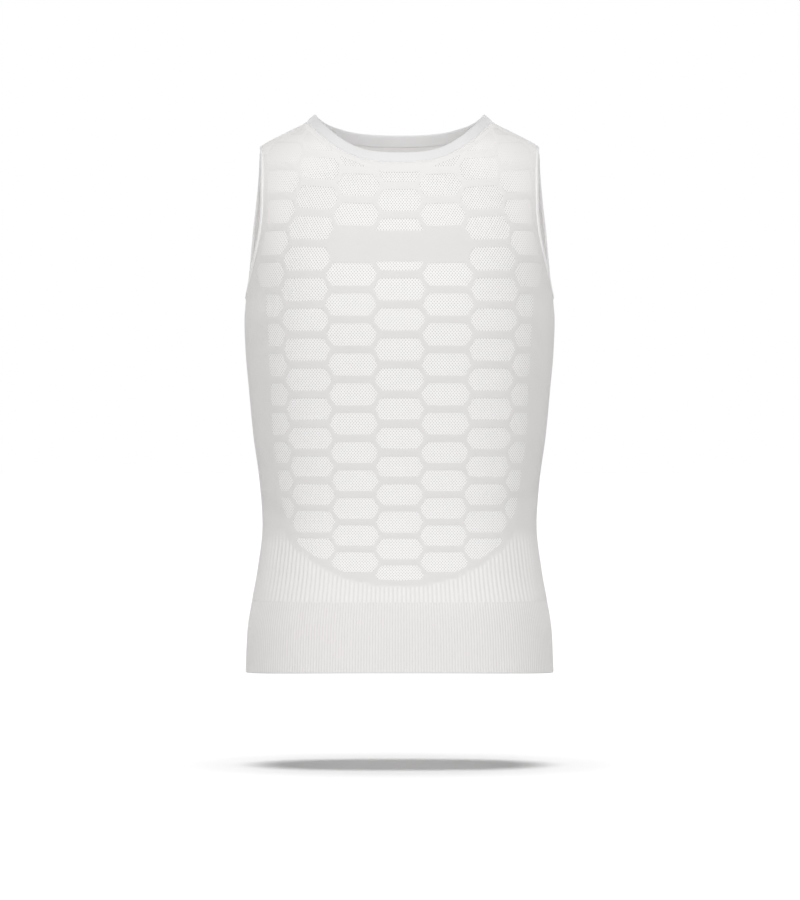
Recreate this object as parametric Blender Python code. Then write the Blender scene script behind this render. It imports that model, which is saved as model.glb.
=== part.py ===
"""Sleeveless base layer: a seamless knitted tube, filled out and open at neck, armholes and hem.

The front faces -Y. Height 0 is the neck end of the shoulder seams, and the
body hangs below it. Every piece lies on one surface of rings, and points on
it are named by an arc length from the centre line and a height.
"""

from functools import lru_cache
from math import cos, pi, radians, sin

import bmesh
import bpy
import numpy as np
from mathutils.geometry import delaunay_2d_cdt

# ---- Driving sizes, in millimetres ----
MM = 0.001
WALL = 1.6
GAP = 0.3
HEM_TOP = -557.0
HEM_END = -640.0
SHOULDER_NECK = -7.8
SHOULDER_TIP = -38.0
UNDERARM = -208.0
NECK_HALF = 106.0
NECK_SHAPE = {-1: (51.2, 2.7), 1: (20.2, 2.9)}  # face: (drop, power of its curve)
BAND_WIDTH = 12.4
EDGE_WIDTH = 4.0
CELL_SINK = 0.6
CELL_SLOPE = 1.0
RIB_SINK = 0.6
RIB_TOP = -475.0
RIB_MARGIN = 7.0
WIDE_RIBS = 93
FINE_RIBS = 144
FRONT = -1
BACK = 1

# The body's rings: its half width, its depth to the front and to the back,
# and how square each ring is (2 is an ellipse).
RINGS = np.array([
    # height, half width, front, back, squareness
    (8.0, 93.0, 44.0, 46.0, 2.00),
    (1.0, 98.8, 48.0, 52.0, 2.00),
    (-7.8, 106.0, 54.0, 60.0, 2.00),
    (-10.0, 109.0, 55.6, 62.0, 2.00),
    (-20.0, 129.0, 63.0, 71.0, 2.00),
    (-38.0, 160.5, 74.0, 84.0, 2.02),
    (-60.0, 174.5, 86.0, 95.0, 2.08),
    (-100.0, 183.0, 101.0, 107.0, 2.18),
    (-150.0, 182.0, 112.0, 113.0, 2.28),
    (-209.0, 176.5, 117.0, 112.0, 2.36),
    (-236.0, 178.2, 116.0, 110.0, 2.38),
    (-270.0, 177.0, 113.0, 106.0, 2.40),
    (-316.0, 173.0, 108.0, 100.0, 2.40),
    (-368.0, 168.0, 103.0, 95.0, 2.40),
    (-420.0, 161.0, 99.0, 91.0, 2.40),
    (-471.0, 157.5, 97.0, 90.0, 2.40),
    (-523.0, 163.3, 99.0, 96.0, 2.40),
    (-557.0, 169.4, 102.0, 102.0, 2.40),
    (-592.0, 174.8, 105.0, 107.0, 2.40),
    (-640.0, 177.0, 107.0, 111.0, 2.40),
])

# Half width of the armhole's edge at each height, on the front and the back.
ARMHOLE = np.array([
    # height, front, back
    (-38.0, 160.5, 160.5),
    (-47.0, 159.2, 161.6),
    (-72.0, 158.2, 163.6),
    (-106.0, 158.2, 167.2),
    (-134.0, 160.2, 170.2),
    (-163.0, 165.8, 172.6),
    (-190.0, 172.0, 174.6),
    (-202.0, 174.6, 175.8),
    (-208.0, 176.5, 176.5),
])

# The honeycomb: distance between its columns, and how far it reaches from
# the centre line, both along the cloth, at each height.
HONEYCOMB = np.array([
    # height, column pitch, reach
    (0.0, 43.5, 240.0),
    (-100.0, 47.0, 240.0),
    (-150.0, 52.0, 220.0),
    (-209.0, 55.2, 165.0),
    (-300.0, 52.6, 157.0),
    (-374.0, 51.5, 155.0),
    (-450.0, 49.8, 136.0),
    (-481.0, 49.8, 129.0),
    (-493.0, 50.0, 117.0),
    (-510.0, 50.4, 91.0),
    (-525.0, 50.8, 63.0),
    (-532.5, 51.0, 30.0),
    (-534.0, 51.0, 0.0),
])
ROW_PITCH = 33.7
ROW_TIGHTENS = 0.31
ROW_ZERO = -305.5
CELL_CORNERS = (
    # across, in column pitches, and down, in row pitches, anticlockwise
    (-0.408, 0.5), (0.408, 0.5), (0.592, 0.0), (0.408, -0.5), (-0.408, -0.5), (-0.592, 0.0),
)
BORDER_STEPS = (4.2, 3.0, 3.0, 4.2, 3.0, 3.0)
PLAIN_PATCH = (-138.0, -173.0)
MARGINS = {"neck": 12.0, "armhole": 8.0, "shoulder": 13.0}


# ---- The surface that every piece lies on ----
def smooth(xs, ys):
    """A curve through the points that doesn't overshoot between them."""
    xs, ys = (xs[::-1], ys[::-1]) if xs[0] > xs[-1] else (xs, ys)
    slope = np.diff(ys) / np.diff(xs)
    both = slope[:-1] * slope[1:]
    middle = np.where(both > 0, 2 * both / np.where(both > 0, slope[:-1] + slope[1:], 1), 0)
    tangent = np.concatenate([slope[:1], middle, slope[-1:]])

    def at(x):
        i = np.clip(np.searchsorted(xs, x) - 1, 0, len(xs) - 2)
        h = xs[i + 1] - xs[i]
        t = np.clip((x - xs[i]) / h, 0, 1)
        low = ys[i] * (1 + 2 * t) + tangent[i] * h * t
        high = ys[i + 1] * (3 - 2 * t) - tangent[i + 1] * h * (1 - t)
        return low * (1 - t) ** 2 + high * t ** 2

    return at


RING_CURVES = [smooth(RINGS[:, 0], RINGS[:, k]) for k in range(1, 5)]
PITCH = smooth(HONEYCOMB[:, 0], HONEYCOMB[:, 1])
TURNS = np.radians(np.linspace(0, 90, 181))


@lru_cache(maxsize=None)
def quarter(face, z):
    """Across, out and arc length along a quarter ring, from its centre line to its side."""
    half, front, back, power = (float(curve(z)) for curve in RING_CURVES)
    depth = front if face == FRONT else back
    reach = (np.sin(TURNS) / half) ** power + (np.cos(TURNS) / depth) ** power
    radius = reach ** (-1 / power)
    x, y = radius * np.sin(TURNS), radius * np.cos(TURNS)
    steps = np.hypot(np.diff(x), np.diff(y))
    return x, y, np.concatenate([[0], np.cumsum(steps)])


def point(face, s, z):
    """The place at arc length s from a face's centre line, at height z."""
    x, y, arc = quarter(face, round(z, 3))
    across = np.interp(abs(s), arc, x)
    out = np.interp(abs(s), arc, y) - max(0, abs(s) - arc[-1])
    return np.array([np.copysign(across, s), face * out, z])


def side(face, z):
    """Arc length from a face's centre line to the side line."""
    return quarter(face, round(z, 3))[2][-1]


def arc_at(face, across, z):
    """Arc length of the point at a distance across from the centre plane."""
    x, _, arc = quarter(face, round(z, 3))
    return float(np.interp(across, x, arc))


def slopes(face, s, z):
    """How the surface runs along s and along z, and its outward normal."""
    along = (point(face, s + 0.4, z) - point(face, s - 0.4, z)) / 0.8
    up = (point(face, s, z + 0.4) - point(face, s, z - 0.4)) / 0.8
    out = np.cross(along, up) * -face
    return along, up, out / np.linalg.norm(out)


def raised(face, s, z, height):
    """The point at a height above the surface."""
    return point(face, s, z) + slopes(face, s, z)[2] * height


# ---- Curves that the pieces are cut to ----
def neck_curve(face, steps):
    """Neckline seam of one face, from -X to +X."""
    drop, power = NECK_SHAPE[face]
    curve = []
    for k in range(-steps, steps + 1):
        t = sin(k / steps * pi / 2)
        z = SHOULDER_NECK - drop * (1 - abs(t) ** power)
        curve.append((np.copysign(arc_at(face, NECK_HALF * abs(t), z), t), z))
    return curve


def armhole_curve(face, steps):
    """Armhole edge of one face at +X, from the shoulder down to the underarm."""
    column = 1 if face == FRONT else 2
    across = smooth(ARMHOLE[:, 0], ARMHOLE[:, column])
    middle, reach = (SHOULDER_TIP + UNDERARM) / 2, (SHOULDER_TIP - UNDERARM) / 2
    curve = []
    for k in range(steps + 1):
        z = middle + reach * cos(pi * k / steps)
        curve.append((arc_at(face, float(across(z)), z), z))
    return curve


def frames(stations, closed=True):
    """Place, normal and sideways direction at each (face, s, z) of a curve."""
    places = [point(*station) for station in stations]
    result = []
    for k, station in enumerate(stations):
        run = places[(k + 1) % len(places)] - places[k - 1]
        normal = slopes(*station)[2]
        sideways = np.cross(normal, run)
        result.append((places[k], normal, sideways / np.linalg.norm(sideways)))
    return result


def moved(face, s, z, step):
    """The (s, z) that a small step in space leads to, along the surface."""
    along, up, _ = slopes(face, s, z)
    ds, dz = np.linalg.lstsq(np.stack([along, up], axis=1), step, rcond=None)[0]
    return s + ds, z + dz


NECK_STEPS = 18
ARMHOLE_STEPS = 24
NECK_LOOP = [(FRONT, s, z) for s, z in neck_curve(FRONT, NECK_STEPS)[:-1]]
NECK_LOOP += [(BACK, s, z) for s, z in neck_curve(BACK, NECK_STEPS)[:0:-1]]
ARMHOLE_LOOP = [(FRONT, s, z) for s, z in armhole_curve(FRONT, ARMHOLE_STEPS)[:-1]]
ARMHOLE_LOOP += [(BACK, s, z) for s, z in armhole_curve(BACK, ARMHOLE_STEPS)[:0:-1]]


def armhole_seam(face):
    """Where a panel ends under the armhole's edge, from the shoulder down."""
    loop = frames(ARMHOLE_LOOP)
    seam = []
    for k in range(ARMHOLE_STEPS + 1):
        at = k if face == FRONT else -k % len(loop)
        station_face, s, z = ARMHOLE_LOOP[at]
        start = s if station_face == face else side(face, z)
        s, z = moved(face, start, z, -loop[at][2] * (EDGE_WIDTH + GAP))
        seam.append((min(s, side(face, z) - GAP / 2), z))
    return seam


# ---- Plane geometry of the pattern ----
def distance(line, spot):
    """Shortest distance from a spot to an open line of points."""
    start, run = line[:-1], np.diff(line, axis=0)
    along = ((spot - start) * run).sum(axis=1) / (run ** 2).sum(axis=1)
    nearest = start + run * np.clip(along, 0, 1)[:, None]
    return float(np.hypot(*(nearest - spot).T).min())


def inside(loop, spot):
    """Whether a spot is inside a closed loop."""
    ahead = np.roll(loop, -1, axis=0)
    crosses = (loop[:, 1] > spot[1]) != (ahead[:, 1] > spot[1])
    rise = np.where(crosses, ahead[:, 1] - loop[:, 1], 1)
    at = loop[:, 0] + (spot[1] - loop[:, 1]) * (ahead[:, 0] - loop[:, 0]) / rise
    return bool((crosses & (at > spot[0])).sum() % 2)


def inset(loop, steps):
    """An anticlockwise loop with each edge moved inwards by its own step."""
    run = np.roll(loop, -1, axis=0) - loop
    normal = np.stack([-run[:, 1], run[:, 0]], axis=1) / np.hypot(*run.T)[:, None]
    result = []
    for k, corner in enumerate(loop):
        pair = normal[[k - 1, k]]
        shift = np.linalg.lstsq(pair, np.array([steps[k - 1], steps[k]]), rcond=0.05)[0]
        result.append(corner + shift)
    return np.array(result)


def clipped(loop, margin):
    """The part of a loop where margin(spot) is positive, cut along its zero line."""
    values = [margin(spot) for spot in loop]
    result = []
    for k, spot in enumerate(loop):
        ahead, value, next_value = loop[(k + 1) % len(loop)], values[k], values[(k + 1) % len(loop)]
        if value > 0:
            result.append(spot)
        if (value > 0) != (next_value > 0):
            low, high = (spot, ahead) if value > 0 else (ahead, spot)
            for _ in range(16):
                half = (low + high) / 2
                low, high = (half, high) if margin(half) > 0 else (low, half)
            result.append(low)
    return np.array(result)


def divided(loop, longest):
    """A loop with its long edges divided and its points that lie too close dropped."""
    result = []
    for spot in loop:
        if not result or np.hypot(*(spot - result[-1])) > 2.5:
            result.append(spot)
    if len(result) > 1 and np.hypot(*(result[0] - result[-1])) < 2.5:
        result.pop()
    parts = []
    for spot, ahead in zip(result, result[1:] + result[:1]):
        count = max(1, round(np.hypot(*(ahead - spot)) / longest))
        parts += [spot + (ahead - spot) * k / count for k in range(count)]
    return np.array(parts)


def area(loop):
    """Area of a closed loop, positive where it runs anticlockwise."""
    ahead = np.roll(loop, -1, axis=0)
    return float((loop[:, 0] * ahead[:, 1] - ahead[:, 0] * loop[:, 1]).sum() / 2)


# ---- The honeycomb ----
def row_height(row):
    """Height of a honeycomb row; rows are counted downwards."""
    return ROW_ZERO - ROW_PITCH * row + ROW_TIGHTENS * max(row, 0) ** 2


def honeycomb_margin(face, outline):
    """How far inside the honeycomb's zone a spot lies."""
    right = np.array([(reach, z) for z, _, reach in HONEYCOMB])
    zone = np.concatenate([right, (right * (-1, 1))[-2::-1]])
    lines = [(np.array(neck_curve(face, NECK_STEPS)), MARGINS["neck"])]
    for turn in (-1, 1):
        armhole = np.array(armhole_seam(face)) * (turn, 1)
        neck_end = (turn * side(face, SHOULDER_NECK), SHOULDER_NECK)
        lines.append((armhole, MARGINS["armhole"]))
        lines.append((np.array([armhole[0], neck_end]), MARGINS["shoulder"]))

    def margin(spot):
        within = 1 if inside(outline, spot) else -1
        top = min(within * distance(line, spot) - keep for line, keep in lines)
        bottom = distance(zone, spot) * (1 if inside(zone, spot) else -1)
        return min(top, bottom)

    return margin


def cells(face, outline):
    """The rim of each mesh cell, as loops in the plane of the pattern."""
    margin = honeycomb_margin(face, outline)
    found = []
    for column in range(-4, 5):
        for row in np.arange(-9, 8) + 0.5 * (column % 2):
            loop = []
            for across, down in CELL_CORNERS:
                z = row_height(row + down)
                loop.append(((column + across) * float(PITCH(z)), z))
            loop = inset(np.array(loop), BORDER_STEPS)
            loop = clipped(loop, margin)
            if face == FRONT and abs(column) < 2 and len(loop):
                high, low = PLAIN_PATCH
                loop = clipped(loop, lambda spot: max(spot[1] - high, low - spot[1]))
            if len(loop) > 2 and area(loop) > 110:
                found.append(divided(loop, 19))
    return found


# ---- Solids ----
def triangulated(loop, spots, lines):
    """Triangles over a closed loop, through every loose spot and along every line.

    A line ends at its own first point or at the loop's point whose number is given.
    """
    places = [tuple(spot) for spot in loop]
    edges = [(k, (k + 1) % len(loop)) for k in range(len(loop))]
    for line, end in lines:
        first = len(places)
        places += [tuple(spot) for spot in line]
        edges += [(k, k + 1) for k in range(first, len(places) - 1)]
        edges.append((len(places) - 1, first if end is None else end))
    places += [tuple(spot) for spot in spots]
    spread, _, faces, origins, _, _ = delaunay_2d_cdt(places, edges, [], 0, 1e-6, True)
    if len(spread) != len(places) or not all(origins):
        raise ValueError("the pattern's lines cross")
    faces = [[origins[k][0] for k in face] for face in faces]
    return [face for face in faces if inside(loop, np.mean([places[k] for k in face], axis=0))]


def rim(outer, inner, pairs):
    """Triangles between two closed rings, where inner point k meets outer point pairs[k]."""
    faces = []
    for k, start in enumerate(pairs):
        ahead = (k + 1) % len(pairs)
        count = (pairs[ahead] - start) % len(outer) or len(outer)
        for step in range(count):
            a, b = outer[(start + step) % len(outer)], outer[(start + step + 1) % len(outer)]
            faces.append((a, b, inner[k] if step < (count + 1) // 2 else inner[ahead]))
        middle = outer[(start + (count + 1) // 2) % len(outer)]
        faces.append((inner[k], middle, inner[ahead]))
    return faces


def solid(name, points, faces, colour):
    """One closed mesh object with its own material; the points are in millimetres."""
    mesh = bpy.data.meshes.new(name)
    mesh.from_pydata([tuple(p * MM) for p in points], [], faces)
    form = bmesh.new()
    form.from_mesh(mesh)
    bmesh.ops.recalc_face_normals(form, faces=form.faces)
    form.to_mesh(mesh)
    form.free()
    mesh.shade_smooth()
    mesh.set_sharp_from_angle(angle=radians(40))
    material = bpy.data.materials.new(name)
    material.use_nodes = True
    shader = material.node_tree.nodes["Principled BSDF"]
    shader.inputs["Base Color"].default_value = (*colour, 1)
    shader.inputs["Roughness"].default_value = 0.9
    shader.inputs["Metallic"].default_value = 0.0
    mesh.materials.append(material)
    piece = bpy.data.objects.new(name, mesh)
    collection.objects.link(piece)
    return piece


def loose_spots(face, outline, lines, across, low):
    """Spots spread over the plain cloth, clear of the outline and of every line."""
    taken = np.concatenate([outline] + [line for line, _ in lines])
    loops = [line for line, end in lines if end is None]
    found = []
    z, shift = SHOULDER_NECK, 0
    while z > low:
        lean = abs(float(RING_CURVES[0](z + 1)) - float(RING_CURVES[0](z - 1))) / 2
        step = across / np.hypot(1, lean)
        reach = side(face, z)
        for s in np.arange(-reach + shift * across / 2, reach, across):
            spot = np.array([s, z])
            apart = np.hypot(*((taken - spot) / (across, step)).T).min()
            if apart > 0.45 and inside(outline, spot) and not any(inside(x, spot) for x in loops):
                found.append(spot)
        z, shift = z - step, 1 - shift
    return found


def panel(name, face, colour):
    """The front or the back: a wall with sunk mesh cells and ribs over a plain inside."""
    seam = np.array(armhole_seam(face))
    neck = np.array(neck_curve(face, NECK_STEPS))
    neck[0, 0], neck[-1, 0] = (x * (side(face, SHOULDER_NECK) - GAP / 2) for x in (-1, 1))
    bottom = [(k / WIDE_RIBS, HEM_TOP + GAP / 2) for k in range(-WIDE_RIBS, WIDE_RIBS + 1)]
    bottom = [(part * side(face, z) - np.sign(part) * GAP / 2 * (abs(part) == 1), z) for part, z in bottom]
    edge = [(side(face, z) - GAP / 2, z) for z in np.linspace(HEM_TOP, seam[-1, 1], 14)[1:-1]]
    slope = [seam[0] + (neck[-1] - seam[0]) * t for t in np.linspace(0, 1, 7)[1:-1]]
    slope = [(side(face, z) - GAP / 2, z) for _, z in slope]
    right = edge + [tuple(p) for p in seam[::-1]] + slope
    outline = np.array(bottom + right + [tuple(p) for p in neck[::-1]] + [(-s, z) for s, z in right[::-1]])
    heights = [-RIB_SINK * (k % 2) for k in range(2 * WIDE_RIBS + 1)]
    heights[0] = heights[-1] = -RIB_SINK
    heights += [0.0] * (len(outline) - len(bottom))

    lines = []
    for loop in cells(face, outline):
        floor = inset(loop, [CELL_SLOPE] * len(loop))
        lines += [(loop, None), (floor, None)]
        heights += [0.0] * len(loop) + [-CELL_SINK] * len(floor)
    reach, bottoms = HONEYCOMB[::-1, 2], HONEYCOMB[::-1, 0]
    for k in range(1 - WIDE_RIBS, WIDE_RIBS):
        part = k / WIDE_RIBS
        s = abs(part) * side(face, -520.0)
        top = min(RIB_TOP, float(np.interp(max(0, s - 4), reach, bottoms)) - RIB_MARGIN)
        sunk = (k + WIDE_RIBS) % 2
        levels = [top] + [top - 5] * sunk
        lines.append((np.array([(part * side(face, z), z) for z in levels]), k + WIDE_RIBS))
        heights += [0.0] + [-RIB_SINK * sunk] * (len(levels) - 1)
    spots = loose_spots(face, outline, lines, 18.0, RIB_TOP + 8)
    heights += [0.0] * len(spots)

    faces = triangulated(outline, spots, lines)
    flat = np.concatenate([outline] + [line for line, _ in lines] + [np.array(spots)])
    count = len(flat)
    points = [raised(face, *spot, height) for spot, height in zip(flat, heights)]

    kept = [k for k in range(len(outline)) if k >= len(bottom) or k % 6 == 0]
    under = outline[kept]
    below = loose_spots(face, under, [], 21.0, HEM_TOP + 8)
    more = triangulated(under, below, [])
    inner = np.concatenate([under, np.array(below)])
    points += [raised(face, *spot, -WALL) for spot in inner]
    faces += [tuple(count + k for k in triangle) for triangle in more]
    faces += rim(list(range(len(outline))), [count + k for k in range(len(under))], kept)
    return solid(name, points, faces, colour)


def strip(name, stations, profile, colour):
    """A narrow band along a closed curve; the profile gives (sideways, height) points."""
    points = []
    for place, normal, sideways in frames(stations):
        points += [place + sideways * across + normal * height for across, height in profile]
    rows, wide = len(stations), len(profile)
    faces = []
    for k in range(rows):
        for m in range(wide):
            ahead, up = (k + 1) % rows, (m + 1) % wide
            faces.append((k * wide + m, ahead * wide + m, ahead * wide + up, k * wide + up))
    return solid(name, points, faces, colour)


def hem_band(name, colour):
    """The ribbed band: a ring with ribs outside and a plain inside."""
    turns = [(FRONT, k) for k in range(-FINE_RIBS, FINE_RIBS)]
    turns += [(BACK, k) for k in range(FINE_RIBS, -FINE_RIBS, -1)]
    levels = (HEM_TOP - GAP / 2, (HEM_TOP + HEM_END) / 2, HEM_END)
    points, faces, rings = [], [], []
    for inner in (False, True):
        used = turns[::6] if inner else turns
        for z in levels:
            rings.append(list(range(len(points), len(points) + len(used))))
            for face, k in used:
                height = -WALL if inner else -RIB_SINK * (k % 2)
                points.append(raised(face, k / FINE_RIBS * side(face, z), z, height))
    for upper, lower in zip(rings, rings[1:]):
        if len(upper) == len(lower):
            for k in range(len(upper)):
                ahead = (k + 1) % len(upper)
                faces.append((upper[k], lower[k], lower[ahead], upper[ahead]))
    kept = list(range(0, len(turns), 6))
    faces += rim(rings[0], rings[3], kept) + rim(rings[2], rings[5], kept)
    return solid(name, points, faces, colour)


for old in list(bpy.data.objects):
    bpy.data.objects.remove(old)
collection = bpy.data.collections.new("sleeveless_base_layer")
bpy.context.scene.collection.children.link(collection)

BAND = [(GAP, 0.0), (3.0, 0.4), (11.5, 0.3), (BAND_WIDTH, -0.7), (11.5, -WALL), (GAP, -WALL)]
TURNED = [(-EDGE_WIDTH, 0.1), (-2.0, 0.5), (0.0, -0.2), (-0.2, -1.5), (-EDGE_WIDTH, -WALL)]

panel("front_body", FRONT, (0.84, 0.83, 0.83))
panel("back_body", BACK, (0.80, 0.79, 0.79))
hem_band("hem_band", (0.82, 0.82, 0.82))
strip("neckband", NECK_LOOP, BAND, (0.86, 0.86, 0.86))
strip("armhole_edge_left", ARMHOLE_LOOP, TURNED, (0.88, 0.88, 0.87))
mirrored = [(face, -s, z) for face, s, z in ARMHOLE_LOOP[::-1]]
strip("armhole_edge_right", mirrored, TURNED, (0.88, 0.88, 0.87))
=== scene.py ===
"""Sleeveless base layer: a seamless openwork knit, filled out with nobody in it.

Lengths in the tables are in millimetres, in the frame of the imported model:
height 0 is the neck end of the shoulder seams, and the front faces -Y.
"""

from math import cos, pi, sin

import bmesh
import bpy
import numpy as np
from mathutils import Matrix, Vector
from mathutils.geometry import delaunay_2d_cdt
from mathutils.kdtree import KDTree


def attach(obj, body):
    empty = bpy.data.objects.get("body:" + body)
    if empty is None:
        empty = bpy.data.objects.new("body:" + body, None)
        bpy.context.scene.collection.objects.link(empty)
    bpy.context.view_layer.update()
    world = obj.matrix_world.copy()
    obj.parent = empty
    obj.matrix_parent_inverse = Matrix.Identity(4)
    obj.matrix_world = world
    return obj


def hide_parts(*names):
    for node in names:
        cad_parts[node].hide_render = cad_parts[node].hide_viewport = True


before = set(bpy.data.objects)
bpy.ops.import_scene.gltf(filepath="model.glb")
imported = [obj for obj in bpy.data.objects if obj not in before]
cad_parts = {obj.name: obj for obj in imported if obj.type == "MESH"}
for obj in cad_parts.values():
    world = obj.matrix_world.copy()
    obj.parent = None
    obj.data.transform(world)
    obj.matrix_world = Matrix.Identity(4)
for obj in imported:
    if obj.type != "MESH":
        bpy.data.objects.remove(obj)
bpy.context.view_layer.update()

# ----------------------
# Front and back of the body. The real one is a single tube of white polyamide
# and elastane, knitted without side seams; plain jersey frames the openwork
# cells, and wide ribs end it above the hem. The two halves stand for the tube.
# ----------------------
MM = 0.001
FRONT, BACK = -1, 1
RINGS = np.array([
    # height, half width, front, back, squareness
    (8.0, 93.0, 44.0, 46.0, 2.00),
    (1.0, 98.8, 48.0, 52.0, 2.00),
    (-7.8, 106.0, 54.0, 60.0, 2.00),
    (-10.0, 109.0, 55.6, 62.0, 2.00),
    (-20.0, 129.0, 63.0, 71.0, 2.00),
    (-38.0, 160.5, 74.0, 84.0, 2.02),
    (-60.0, 174.5, 86.0, 95.0, 2.08),
    (-100.0, 183.0, 101.0, 107.0, 2.18),
    (-150.0, 182.0, 112.0, 113.0, 2.28),
    (-209.0, 176.5, 117.0, 112.0, 2.36),
    (-236.0, 178.2, 116.0, 110.0, 2.38),
    (-270.0, 177.0, 113.0, 106.0, 2.40),
    (-316.0, 173.0, 108.0, 100.0, 2.40),
    (-368.0, 168.0, 103.0, 95.0, 2.40),
    (-420.0, 161.0, 99.0, 91.0, 2.40),
    (-471.0, 157.5, 97.0, 90.0, 2.40),
    (-523.0, 163.3, 99.0, 96.0, 2.40),
    (-557.0, 169.4, 102.0, 102.0, 2.40),
    (-592.0, 174.8, 105.0, 107.0, 2.40),
    (-640.0, 177.0, 107.0, 111.0, 2.40),
])
HEIGHTS = np.arange(-650.0, 10.0, 1.0)
SHARES = np.linspace(0, 1, 241)
FOLDS = np.array([
    # face, along, height, half length, half width, turn in degrees, depth
    (-1, 150.0, -248.0, 46.0, 9.0, -38.0, 1.1),
    (-1, -156.0, -256.0, 52.0, 10.0, 34.0, 1.3),
    (-1, 168.0, -438.0, 60.0, 11.0, 12.0, 1.0),
    (-1, -172.0, -452.0, 50.0, 10.0, -16.0, 1.2),
    (-1, 96.0, -566.0, 70.0, 14.0, 4.0, -0.8),
    (1, 120.0, -262.0, 64.0, 12.0, -30.0, 1.4),
    (1, -132.0, -250.0, 56.0, 11.0, 36.0, 1.2),
    (1, 30.0, -448.0, 78.0, 13.0, 6.0, 1.5),
    (1, -60.0, -476.0, 62.0, 12.0, -8.0, 1.3),
    (1, 0.0, -140.0, 90.0, 24.0, 88.0, 1.4),
])
FOLD_FADE = 25.0


def ramp(values, start, length):
    """0 up to the start, 1 from a length beyond it, and straight between."""
    return np.clip((values - start) / length, 0, 1)


def smooth(xs, ys):
    """A curve through the points that doesn't overshoot between them."""
    xs, ys = (xs[::-1], ys[::-1]) if xs[0] > xs[-1] else (xs, ys)
    slope = np.diff(ys) / np.diff(xs)
    both = slope[:-1] * slope[1:]
    middle = np.where(both > 0, 2 * both / np.where(both > 0, slope[:-1] + slope[1:], 1), 0)
    tangent = np.concatenate([slope[:1], middle, slope[-1:]])

    def at(x):
        i = np.clip(np.searchsorted(xs, x) - 1, 0, len(xs) - 2)
        h = xs[i + 1] - xs[i]
        t = np.clip((x - xs[i]) / h, 0, 1)
        low = ys[i] * (1 + 2 * t) + tangent[i] * h * t
        high = ys[i + 1] * (3 - 2 * t) - tangent[i + 1] * h * (1 - t)
        return low * (1 - t) ** 2 + high * t ** 2

    return at


def quarter_rings(face):
    """Across, out and arc length of a face's quarter rings, a row for each height."""
    half, front, back, power = (smooth(RINGS[:, 0], RINGS[:, k])(HEIGHTS)[:, None] for k in range(1, 5))
    depth = front if face == FRONT else back
    turn = np.radians(np.linspace(0, 90, 361))[None, :]
    radius = ((np.sin(turn) / half) ** power + (np.cos(turn) / depth) ** power) ** (-1 / power)
    x, y = radius * np.sin(turn), radius * np.cos(turn)
    arc = np.cumsum(np.hypot(np.diff(x, prepend=0), np.diff(y, prepend=y[:, :1])), axis=1)
    xs = [np.interp(SHARES * a[-1], a, row) for a, row in zip(arc, x)]
    ys = [np.interp(SHARES * a[-1], a, row) for a, row in zip(arc, y)]
    return np.array(xs), np.array(ys), arc[:, -1]


QUARTERS = {face: quarter_rings(face) for face in (FRONT, BACK)}


def side(face, z):
    """Arc length from a face's centre line to the side line."""
    return np.interp(z, HEIGHTS, QUARTERS[face][2])


def arc_at(face, across, z):
    """Arc length of the point at a distance across from the centre plane."""
    row = int(np.clip(round(z - HEIGHTS[0]), 0, len(HEIGHTS) - 1))
    xs, _, length = QUARTERS[face]
    return float(np.interp(across, xs[row], SHARES * length[row]))


def place(face, s, z):
    """Points of the cloth at arc lengths s from the centre line and heights z."""
    s, z = np.broadcast_arrays(np.asarray(s, float), np.asarray(z, float))
    xs, ys, _ = QUARTERS[face]
    reach = side(face, z)
    row = np.clip(z - HEIGHTS[0], 0, len(HEIGHTS) - 1.001)
    column = np.clip(abs(s) / reach, 0, 1) * (len(SHARES) - 1.001)
    i, j = row.astype(int), column.astype(int)
    t, u = row - i, column - j

    def mixed(grid):
        near = grid[i, j] * (1 - u) + grid[i, j + 1] * u
        far = grid[i + 1, j] * (1 - u) + grid[i + 1, j + 1] * u
        return near * (1 - t) + far * t

    beyond = np.maximum(abs(s) - reach, 0)
    return np.stack([np.copysign(mixed(xs), s), face * (mixed(ys) - beyond), z], axis=-1)


def slopes(face, s, z):
    """How the cloth runs for a step of 1 along s and along z, and its outward direction."""
    along = (place(face, s + 1.0, z) - place(face, s - 1.0, z)) / 2
    up = (place(face, s, z + 1.0) - place(face, s, z - 1.0)) / 2
    out = np.cross(along, up) * -face
    return along, up, out / np.linalg.norm(out, axis=-1, keepdims=True)


def lifted(face, s, z, height=0.0):
    """Points at a height above the cloth, with its soft folds, which fade near the side lines."""
    s, z = np.asarray(s, float), np.asarray(z, float)
    clear = ramp(side(face, z) - np.abs(s), 0, FOLD_FADE)
    for _, along, level, length, width, turn, depth in FOLDS[FOLDS[:, 0] == face]:
        c, d = cos(np.radians(turn)), sin(np.radians(turn))
        u, v = (s - along) * c + (z - level) * d, (z - level) * c - (s - along) * d
        height = height - depth * clear * np.exp(-(u / length) ** 2 - (v / width) ** 2)
    return place(face, s, z) + slopes(face, s, z)[2] * np.asarray(height)[..., None]


HEM_TOP = -557.0
SHOULDER_NECK = -7.8
SHOULDER_TIP = -38.0
UNDERARM = -208.0
NECK_HALF = 106.0
NECK_SHAPE = {FRONT: (51.2, 2.7), BACK: (20.2, 2.9)}
EDGE_WIDTH = 4.0
ARMHOLE = np.array([
    # height, half width at the front's edge, at the back's edge
    (-38.0, 160.5, 160.5),
    (-47.0, 159.2, 161.6),
    (-72.0, 158.2, 163.6),
    (-106.0, 158.2, 167.2),
    (-134.0, 160.2, 170.2),
    (-163.0, 165.8, 172.6),
    (-190.0, 172.0, 174.6),
    (-202.0, 174.6, 175.8),
    (-208.0, 176.5, 176.5),
])
NECK_STEPS, ARMHOLE_STEPS, COARSE_STEPS = 60, 48, 24


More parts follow.
